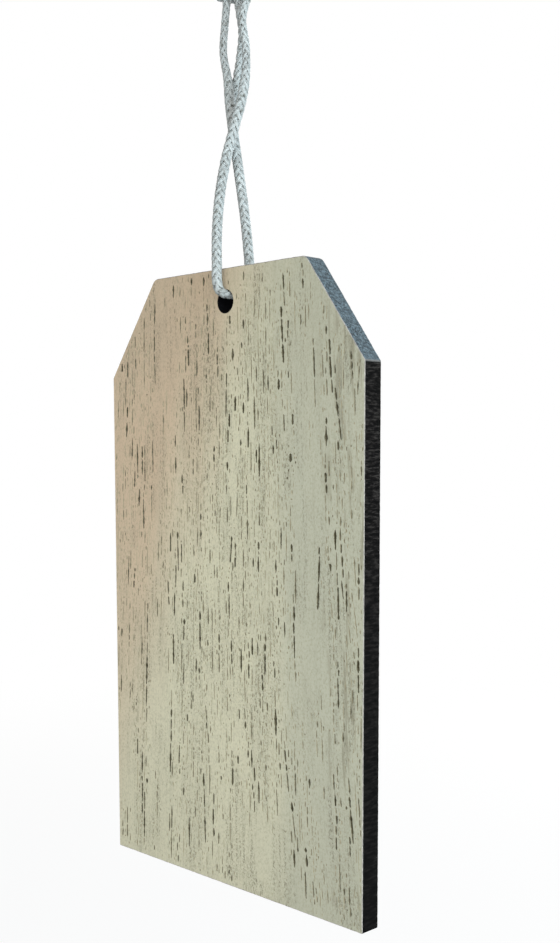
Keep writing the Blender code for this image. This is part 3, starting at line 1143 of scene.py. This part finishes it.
def face_triangles(rim, opening, pits):
    """Triangles of a flat face between its rim and its hole. Returns the points, how deep and how
    pale each one is, the triangles, whether each lies in a pit, and the two rims' point numbers."""
    points = [*rim, *opening]
    depths = [0.0] * len(points)
    shades = [1.0] * len(points)
    rings = [list(range(len(rim))), list(range(len(rim), len(points)))]
    edges = []
    for path, widths, shade in pits:
        outline = pit_outline(path, widths)
        rings.append(list(range(len(points), len(points) + len(outline))))
        tips = (len(points), len(points) + len(path) - 1)
        points += list(outline)
        depths += [0.0] * len(outline)
        shades += [shade + RIM_PALER] * len(outline)
        floor = [tips[0], *range(len(points), len(points) + len(path) - 2), tips[1]]
        edges += list(zip(floor[:-1], floor[1:]))
        points += list(path[1:-1])
        depths += list(np.minimum(PIT_SLOPE * widths[1:-1], PIT_DEEPEST))
        shades += [shade] * (len(path) - 2)
    coords = [mathutils.Vector((float(x), float(z))) / MM for x, z in points]
    made = mathutils.geometry.delaunay_2d_cdt(coords, edges, rings, 1, 1e-5)
    flat = np.array([tuple(co) for co in made[0]]) * MM
    deep = np.array([max((depths[i] for i in sources), default=0.0) for sources in made[3]])
    pale = [min((shades[i] for i in sources), default=1.0) for sources in made[3]]
    number_of = {source: i for i, sources in enumerate(made[3]) for source in sources}
    kept = [i for i, sources in enumerate(made[5]) if 1 not in sources]
    triangles = [made[2][i] for i in kept]
    in_pit = [max(made[5][i]) > 1 for i in kept]
    return flat, deep, pale, triangles, in_pit, [[number_of[i] for i in ring] for ring in rings[:2]]


print("the steepest wall of a pit is", round(math.degrees(math.atan(2 * PIT_SLOPE))), "degrees")

# %% [markdown]
# A layer is that face, a back cap without pits, and walls round the outline and the hole between
# them. The walls are rows of rings: the first row is the face's own rim, the next one lies a
# little deeper and further out, which makes the narrow bevel that real edges have and that
# catches the light.


# %% Build one layer of the board
FACE, PIT, CUT, HOLE, ARRIS = 0, 1, 2, 3, 4


def wall_faces(upper, lower, inward):
    """Quads between two rings of point numbers, facing out of the board or into its hole."""
    faces = []
    for i in range(len(upper)):
        j = (i + 1) % len(upper)
        quad = [upper[i], lower[i], lower[j], upper[j]]
        faces.append(quad[::-1] if inward else quad)
    return faces


def layer_mesh(name, outline_rows, hole_rows, pits, flipped=False):
    """A closed layer. Rows are (ring, y, material of the wall that ends there), front row first."""
    flat, deep, pale, triangles, in_pit, (rim, opening) = face_triangles(
        outline_rows[0][0], hole_rows[0][0], pits
    )
    front_y = outline_rows[0][1]
    points = [np.stack([flat[:, 0], front_y + deep, flat[:, 1]], axis=1)]
    faces = [list(t) for t in triangles]
    materials = [PIT if inside else outline_rows[0][2] for inside in in_pit]
    count = len(flat)
    last_rings = []
    for above, rows, inward in ((rim, outline_rows, False), (opening, hole_rows, True)):
        for ring, y, material in rows[1:]:
            below = list(range(count, count + len(ring)))
            points.append(np.stack([ring[:, 0], np.full(len(ring), y), ring[:, 1]], axis=1))
            faces += wall_faces(above, below, inward)
            materials += [material] * len(ring)
            count += len(ring)
            above = below
        last_rings.append(above)
    _, _, _, cap, _, (cap_rim, cap_opening) = face_triangles(outline_rows[-1][0], hole_rows[-1][0], [])
    number_of = dict(zip([*cap_rim, *cap_opening], [*last_rings[0], *last_rings[1]]))
    faces += [[number_of[i] for i in reversed(t)] for t in cap]
    materials += [CUT] * len(cap)
    points = np.concatenate(points)
    if flipped:
        points[:, 1] *= -1
        faces = [face[::-1] for face in faces]
    mesh = bpy.data.meshes.new(name)
    mesh.from_pydata(points.tolist(), [], faces)
    mesh.polygons.foreach_set("material_index", materials)
    shades = pale + [1.0] * (len(points) - len(pale))
    mesh.attributes.new("pit_shade", "FLOAT", "POINT").data.foreach_set("value", shades)
    return mesh


print("a layer has the materials", FACE, PIT, CUT, HOLE, ARRIS)

# %% [markdown]
# The veneer's colour is a pale sage beige. It is warmer and pinker in the upper left, beyond a
# slanted line, and greyer and darker towards the right edge, with a slow drift along the bands of
# the grain. Both changes are partly the wood's own colour and partly painted light: warm light in
# the upper left and shade towards the right. On top of that come the mottle, the fibres, the
# streaks that gather at the right edge, painted shade over the top, a darker tone at the foot, and
# the specks. All of it is satin: a light sanding closes the fibres, but the pores stay open and dull.

# %% Material: veneer face
PALE = (0.557, 0.532, 0.390)
GREY = (0.422, 0.420, 0.325)
WARM = (0.520, 0.402, 0.280)
DARK_TONE_AND_SHADE = (0.20, 0.185, 0.125)
STREAK = (0.23, 0.215, 0.15)
WARM_SLANT = 0.36
WARM_START = 18.0
BAND_DRIFT = 14.0


def crowding(tree, across):
    """The density of the vessels across the width, as a colour ramp made from the same numbers."""
    share = ramp(tree, across, CROWD_PLACES[0], CROWD_PLACES[-1], slope="LINEAR")
    made = add(tree, "ShaderNodeValToRGB", {0: share})
    stops = made.color_ramp.elements
    while len(stops) < len(CROWD_PLACES):
        stops.new(0.5)
    for stop, x, value in zip(stops, CROWD_PLACES, CROWD_SHARES):
        stop.position = (x - CROWD_PLACES[0]) / (CROWD_PLACES[-1] - CROWD_PLACES[0])
        stop.color = (value, value, value, 1.0)
    return made.outputs[0]


def veneer_material(name, side):
    """The face of a veneer. Side is 1 on the front and -1 on the back, which mirrors the colours."""
    material, tree, shader = new_material(name, {"IOR": 1.45, "Specular IOR Level": 0.35})
    where = position_in_mm(tree)
    axes = split(tree, where)
    height = axes["Z"]
    across = times(tree, axes["X"], float(side))
    wood = place_group(tree, figure, {"Position": where, "Crowding": crowding(tree, across)})
    drift = times(tree, maths(tree, "SUBTRACT", wood["Bands"], 0.5), BAND_DRIFT)
    slant = maths(tree, "MULTIPLY_ADD", height, WARM_SLANT, WARM_START)
    warm = maths(tree, "SUBTRACT", maths(tree, "ADD", slant, drift), across)
    fading = ramp(tree, height, -118.0, -56.0, 0.45, 1.0)
    colour = layered(
        tree,
        PALE,
        # Greyer towards the right: partly the wood's colour, partly painted shade.
        (ramp(tree, maths(tree, "ADD", across, drift), 2.0, 17.0), GREY),
        # Warmer in the upper left: partly the wood's colour, partly painted warm light.
        (times(tree, ramp(tree, warm, -5.0, 11.0), fading), WARM),
        (ramp(tree, wood["Mottle"], 0.42, 0.75, 0.0, 0.40), DARK_TONE_AND_SHADE),
        (ramp(tree, wood["Fibres"], 0.5, 0.8, 0.0, 0.30), DARK_TONE_AND_SHADE),
        # Painted shade: the top of the face is darkened, as if shaded from above.
        (ramp(tree, height, -62.0, -34.0, 0.0, 0.14), DARK_TONE_AND_SHADE),
        (ramp(tree, height, -119.0, -92.0, 0.12, 0.0), DARK_TONE_AND_SHADE),
        (times(tree, wood["Streaks"], ramp(tree, across, 16.0, 22.0, 0.12, 0.65)), STREAK),
        (times(tree, wood["Specks"], 0.75), DARK_TONE_AND_SHADE),
    )
    coloured(tree, shader, colour, ramp(tree, wood["Specks"], 0.0, 1.0, 0.5, 0.8))
    bumped(tree, shader, wood["Height"], 0.05 * MM)
    return material


front_face = veneer_material("veneer_front", 1)
back_face = veneer_material("veneer_back", -1)
print("materials", front_face.name, back_face.name)

# %% [markdown]
# The pits are darker than any shadow in so shallow a groove could be: partly because dust and
# old sap sit in them, and partly because shade is painted into their colour. The shade of a pit
# takes it from a dark olive brown to a brown not far from the wood's, and the dust changes a
# little inside a pit as well.

# %% Material: open pore
dull = {"IOR": 1.4, "Specular IOR Level": 0.2, "Roughness": 0.85}
pore_stain_and_shade, tree, shader = new_material("open_pore", dull)
written = add(tree, "ShaderNodeAttribute", attribute_type="GEOMETRY", attribute_name="pit_shade")
pit_shade = written.outputs["Fac"]
dusty = noise(tree, position_in_mm(tree), (1.0, 0.3, 0.6), 3.5, 2.0)
dusty = times(tree, maths(tree, "SUBTRACT", dusty, 0.5), 0.8)
pit_share = ramp(tree, maths(tree, "ADD", pit_shade, dusty), 0.0, 1.0)
# The dark end is partly stain and partly the groove's shade, painted into the colour.
coloured(tree, shader, blended(tree, pit_share, (0.034, 0.030, 0.015), (0.32, 0.29, 0.195)))
bumped(tree, shader, dusty, 0.03 * MM)
print("material", pore_stain_and_shade.name)

# %% [markdown]
# The laser leaves the edge black. Seen close, the char has fine lines straight across the
# thickness, brown where the wood shows through, and grit, and it is darker towards the foot.
# Where the edge faces up it is a cool grey with pale scratches and a few rust brown dots: partly
# dust, and partly painted sheen, the cool reflection of the light from above put into its colour.
# Which way it faces is read on the tag itself, so the dust and the painted sheen stay in place
# when the tag swings. The sharp shoulder under it is paler in a thin line.

# %% Material: charred cut
SCRATCH_SLANT = math.radians(27)
DEEP_BLACK = (0.002, 0.002, 0.002)
CHAR_DARK = (0.006, 0.005, 0.005)
CHAR_PALE = (0.017, 0.015, 0.014)
BROWNED = (0.034, 0.031, 0.028)
DUST_AND_SHEEN_DARK = (0.021, 0.027, 0.031)
DUST_AND_SHEEN_PALE = (0.105, 0.138, 0.158)
RUBBED_SHEEN = (0.054, 0.073, 0.084)
SCRATCH = (0.18, 0.23, 0.25)
RUST = (0.020, 0.014, 0.010)
PALE_SHOULDER = (0.15, 0.145, 0.14)

shoulder = max(z for x, z in corners if x > 0.999 * front_high.x)
dead_black = {"IOR": 1.5, "Specular IOR Level": 0.02, "Coat Roughness": 0.4}
char, tree, shader = new_material("charred_cut", dead_black)
where = position_in_mm(tree)
slanted = add(tree, "ShaderNodeVectorRotate", {0: where, "Axis": (0.8, 0.0, 0.6), "Angle": SCRATCH_SLANT})


def grit_on_cut(position, stretch, lumps, threshold):
    """The fine grit with its four settings."""
    settings = {"Position": position, "Stretch": stretch, "Lumps per mm": lumps, "Threshold": threshold}
    return place_group(tree, grit, settings)


lines = grit_on_cut(where, (1.0, 0.18, 1.0), 3.2, 0.52)
scratches = grit_on_cut(slanted.outputs[0], (1.0, 0.28, 1.0), 4.5, 0.53)
specks = grit_on_cut(where, (1.0, 0.8, 1.0), 3.6, 0.5)
rust = grit_on_cut(where, (1.0, 1.0, 1.0), 1.8, 0.63)
rubbed_sheen = noise(tree, where, (1.0, 0.7, 1.0), 1.3, 2.0)
height = split(tree, where)["Z"]
upward = split(tree, add(tree, "ShaderNodeTexCoord").outputs["Normal"])["Z"]
# Where the edge faces up: the place of the dust and the painted sheen.
dust_and_sheen_facing_up = ramp(tree, upward, 0.25, 0.55)

patchy = blended(tree, ramp(tree, specks["Height"], 0.35, 0.65), CHAR_DARK, CHAR_PALE)
lined = (ramp(tree, lines["Height"], 0.40, 0.62), patchy)
# The char is darker towards the foot.
darker_downwards = (ramp(tree, height, -115.0, -48.0, 0.25, 1.0, "LINEAR"), layered(tree, DEEP_BLACK, lined))
browned = (times(tree, lines["Mask"], ramp(tree, height, -90.0, -50.0, 0.10, 0.60)), BROWNED)
black = layered(tree, DEEP_BLACK, darker_downwards, browned)
# Dust with painted sheen: the cool light from above, reflected, is put into the colour.
dust = layered(
    tree,
    DUST_AND_SHEEN_DARK,
    (ramp(tree, specks["Height"], 0.40, 0.62), DUST_AND_SHEEN_PALE),
    (ramp(tree, rubbed_sheen, 0.40, 0.65, 0.0, 0.5), RUBBED_SHEEN),
    (times(tree, scratches["Mask"], 0.45), SCRATCH),
    (rust["Mask"], RUST),
)
from_shoulder = maths(tree, "ABSOLUTE", maths(tree, "SUBTRACT", height, shoulder / MM))
# A thin paler line along the sharp shoulder.
pale_shoulder_line = (ramp(tree, from_shoulder, 0.0, 0.22, 0.8, 0.0), PALE_SHOULDER)
colour = layered(tree, black, (dust_and_sheen_facing_up, dust), pale_shoulder_line)
coloured(tree, shader, colour, ramp(tree, specks["Height"], 0.3, 0.7, 0.5, 0.75))
tree.links.new(times(tree, dust_and_sheen_facing_up, 0.12), shader.inputs["Coat Weight"])
bumped(tree, shader, maths(tree, "ADD", lines["Height"], specks["Height"]), 0.04 * MM)
print("material", char.name)

# %% [markdown]
# Inside the hole the soot is plain black, without the dust and painted sheen of the edge that
# faces up. Along the narrow bevel next to the face the wood is scorched to a brownish grey.

# %% Materials: soot and scorched arris
soot, tree, shader = new_material("hole_soot", {"IOR": 1.4, "Specular IOR Level": 0.02, "Roughness": 0.95})
settled = noise(tree, position_in_mm(tree), (1.0, 0.4, 1.0), 3.0)
coloured(tree, shader, blended(tree, settled, (0.0015, 0.0015, 0.002), (0.005, 0.005, 0.006)))

half_dull = {"IOR": 1.45, "Specular IOR Level": 0.2, "Roughness": 0.7}
scorched, tree, shader = new_material("scorched_arris", half_dull)
seared = ramp(tree, noise(tree, position_in_mm(tree), (1.0, 1.0, 1.0), 2.5, 3.0, 0.6), 0.35, 0.65)
coloured(tree, shader, blended(tree, seared, (0.34, 0.32, 0.29), (0.22, 0.205, 0.19)))
print("materials", soot.name, scorched.name)

# %% [markdown]
# Now the three layers are built. The veneers carry the pits and the bevelled rim; the core
# lies between them and shows only at the cut. The back veneer is made like the front one
# and turned over.

# %% The three layers
ARRIS_INSET = 0.10 * MM
ARRIS_DEPTH = 0.07 * MM
HOLE_INSET = 0.05 * MM

core_low, core_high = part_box("core_board")
nicks = np.maximum(smoothed(np.random.default_rng(13).normal(size=len(outline)), 1) - 1.4, 0) * NICK_DEPTH
face_rim = outline - outline_out * (ARRIS_INSET + nicks)[:, None]
face_hole = hole + hole_out * HOLE_INSET


def veneer(name, pits, face, flipped):
    outline_rows = [
        (face_rim, front_low.y, FACE),
        (cut_edge, front_low.y + ARRIS_DEPTH, ARRIS),
        (cut_edge, core_low.y, CUT),
    ]
    hole_rows = [
        (face_hole, front_low.y, FACE),
        (hole, front_low.y + HOLE_INSET, HOLE),
        (hole, core_low.y, HOLE),
    ]
    mesh = layer_mesh(name, outline_rows, hole_rows, pits, flipped)
    return shown(name, mesh, face, pore_stain_and_shade, char, soot, scorched)


front = veneer("front_face_sheet", faces["front"], front_face, False)
back = veneer("back_face_sheet", faces["back"], back_face, True)
core_rows = [(cut_edge, core_low.y, CUT), (cut_edge, core_high.y, CUT)]
core_hole_rows = [(hole, core_low.y, HOLE), (hole, core_high.y, HOLE)]
core_mesh = layer_mesh("charred_core_sheet", core_rows, core_hole_rows, [])
core = shown("charred_core_sheet", core_mesh, char, char, char, soot)
for piece, node, slot in (
    (front, "front_veneer", "wood_veneer"),
    (back, "back_veneer", "wood_veneer"),
    (core, "core_board", "charred_core"),
):
    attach(piece, "board")
    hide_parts(node)
    print(piece.name, "has", len(piece.data.polygons), "faces")

# %% [markdown]
# The stage is a plain pale floor under the tag. A floor lit like the tag would be grey in places,
# and more light would only wash out the wood, so most of what the camera sees of it is
# a plain white of strength 1 and the rest is a real, lit floor that keeps the tag's soft shadow.
# That rest fades out with the distance from the tag, so the floor meets the white world without
# a seam. Reflections and light through glass see the same white.

# %% Floor
FLOOR_HEIGHT = -200 * MM
FLOOR_REACH = 3000 * MM
SHADOW_SHARE = 0.15
SHADOW_NEAR = 0.15
SHADOW_FAR = 0.60


def seen_directly(tree):
    """1 for the camera, for reflections and for light through glass, else 0."""
    ray = add(tree, "ShaderNodeLightPath").outputs
    seen = maths(tree, "MAXIMUM", ray["Is Camera Ray"], ray["Is Glossy Ray"])
    return maths(tree, "MAXIMUM", seen, ray["Is Transmission Ray"])


floor_white = bpy.data.materials.new("pale_floor")
floor_white.use_nodes = True
tree = floor_white.node_tree
tree.nodes.clear()
matt = add(tree, "ShaderNodeBsdfDiffuse", {"Color": (0.9, 0.9, 0.9, 1.0)})
white = add(tree, "ShaderNodeEmission", {"Color": (1.0, 1.0, 1.0, 1.0), "Strength": 1.0})
place = add(tree, "ShaderNodeTexCoord").outputs["Object"]
distance = add(tree, "ShaderNodeVectorMath", {0: place}, operation="LENGTH").outputs["Value"]
share = ramp(tree, distance, SHADOW_NEAR, SHADOW_FAR, 1 - SHADOW_SHARE, 1.0)
share = times(tree, seen_directly(tree), share)
mixed = add(tree, "ShaderNodeMixShader", {0: share, 1: matt.outputs[0], 2: white.outputs[0]})
add(tree, "ShaderNodeOutputMaterial", {"Surface": mixed.outputs[0]})

middle = (0, 0, FLOOR_HEIGHT)
bpy.ops.mesh.primitive_circle_add(vertices=96, radius=FLOOR_REACH, fill_type="NGON", location=middle)
floor = bpy.context.object
floor.name = "floor"
floor.data.materials.append(floor_white)
print("floor is", round((board_top - BOARD_HEIGHT - FLOOR_HEIGHT) / MM), "mm under the tag")

# %% [markdown]
# The studio light is soft. The world gives an even base. A large lamp in front, to the right,
# lights the face. A cooler one stands at the right and skims over the face, so that the pores and
# the braid get a light side and a dark side. A weak one behind and above silvers the cord's edge,
# and the last one lights the back, which the photograph doesn't show. Each is a square that faces
# the tag's middle, given by its direction, its size, its watts and its colour.

# %% Light
WORLD_LEVEL = 0.22
LAMP_DISTANCE = 600 * MM
AIM_BELOW_TOP = 40 * MM
WARM_WHITE = (1.0, 0.985, 0.96)
LAMPS = [
    ("front_lamp", (0.62, -0.76, 0.20), 450 * MM, 2.65, WARM_WHITE),
    ("side_lamp", (0.96, -0.10, 0.24), 350 * MM, 4.2, (0.77, 0.92, 1.0)),
    ("sky_lamp", (0.30, 0.68, 0.66), 450 * MM, 0.8, (0.86, 0.94, 1.0)),
    ("back_lamp", (-0.25, 0.95, 0.20), 450 * MM, 2.0, WARM_WHITE),
]

world = bpy.data.worlds.new("studio")
bpy.context.scene.world = world
world.use_nodes = True
tree = world.node_tree
tree.nodes.clear()
base = add(tree, "ShaderNodeBackground", {"Color": (0.97, 0.99, 1.0, 1.0), "Strength": WORLD_LEVEL})
white = add(tree, "ShaderNodeBackground", {"Color": (1.0, 1.0, 1.0, 1.0), "Strength": 1.0})
mixed = add(tree, "ShaderNodeMixShader", {0: seen_directly(tree), 1: base.outputs[0], 2: white.outputs[0]})
add(tree, "ShaderNodeOutputWorld", {"Surface": mixed.outputs[0]})

for name, direction, size, watts, colour in LAMPS:
    data = bpy.data.lights.new(name, "AREA")
    data.size = size
    data.energy = watts
    data.color = colour
    lamp = bpy.data.objects.new(name, data)
    towards = mathutils.Vector(direction).normalized()
    lamp.location = mathutils.Vector((0, 0, board_top - AIM_BELOW_TOP)) + towards * LAMP_DISTANCE
    lamp.rotation_euler = towards.to_track_quat("Z", "Y").to_euler()
    bpy.context.scene.collection.objects.link(lamp)

# %% [markdown]
# The picture is shown as it is lit, with the Standard view.

# %% Finish
bpy.context.scene.view_settings.view_transform = "Standard"
